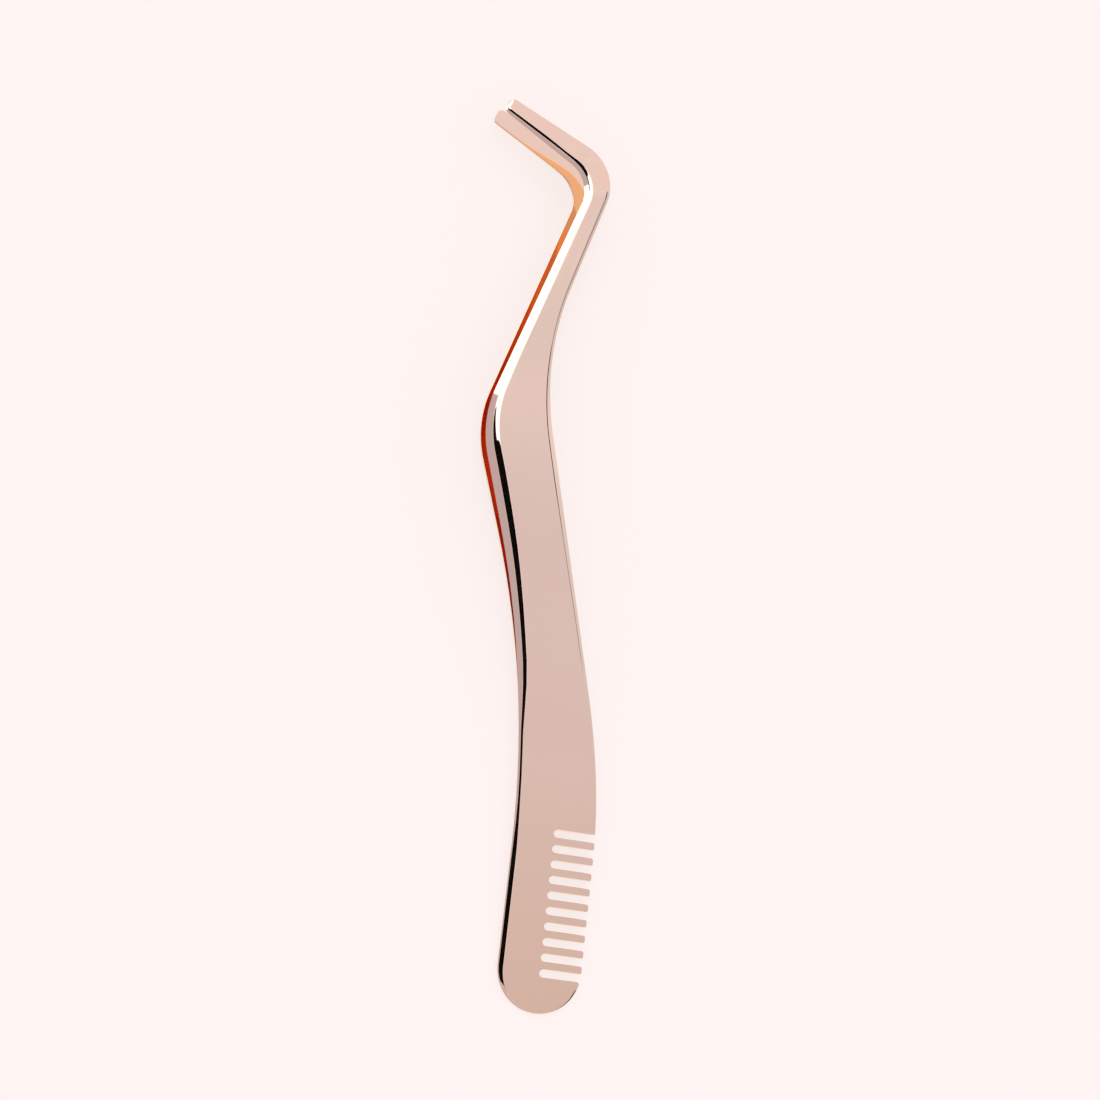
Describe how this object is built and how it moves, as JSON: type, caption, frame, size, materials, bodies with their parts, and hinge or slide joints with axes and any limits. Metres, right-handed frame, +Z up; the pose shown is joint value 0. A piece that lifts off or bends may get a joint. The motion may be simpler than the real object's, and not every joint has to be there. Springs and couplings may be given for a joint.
{
  "type": "eyelash applicator tweezers",
  "caption": "Slim metal tweezers for putting on false eyelashes, with angled jaws at one end and an eyelash comb cut into the joined handle.",
  "frame": {"origin": "middle of the tool's outline, on the surface that it lies on", "axes": "+Y along the tool from the comb towards the jaws, +Z up, out of the front leaf, +X to the side that the comb's teeth point to"},
  "size_m": [0.0178, 0.1251, 0.0083],
  "materials": {
    "rose_gold_steel": "mirror polished rose gold plating on stainless steel",
    "weld_steel": "fused metal, hidden inside the handle"
  },
  "bodies": {
    "handle": {"front_handle": "rose_gold_steel", "back_handle": "rose_gold_steel", "spot_welds": "weld_steel"},
    "front_arm": {"front_arm": "rose_gold_steel"},
    "back_arm": {"back_arm": "rose_gold_steel"}
  },
  "joints": [
    {"name": "front_flex", "type": "hinge", "parent": "handle", "child": "front_arm", "pos_m": [0.00013, -0.01859, 0.00196], "axis": [-1, 0, 0], "range_deg": [0, 1.76], "stiffness_Nm_per_rad": 1.7},
    {"name": "back_flex", "type": "hinge", "parent": "handle", "child": "back_arm", "pos_m": [0.00013, -0.01859, 0.00196], "axis": [1, 0, 0], "range_deg": [0, 1.76], "stiffness_Nm_per_rad": 1.7}
  ],
  "couplings": [
    {"joint": "back_flex", "follows": "front_flex", "ratio": 1}
  ]
}
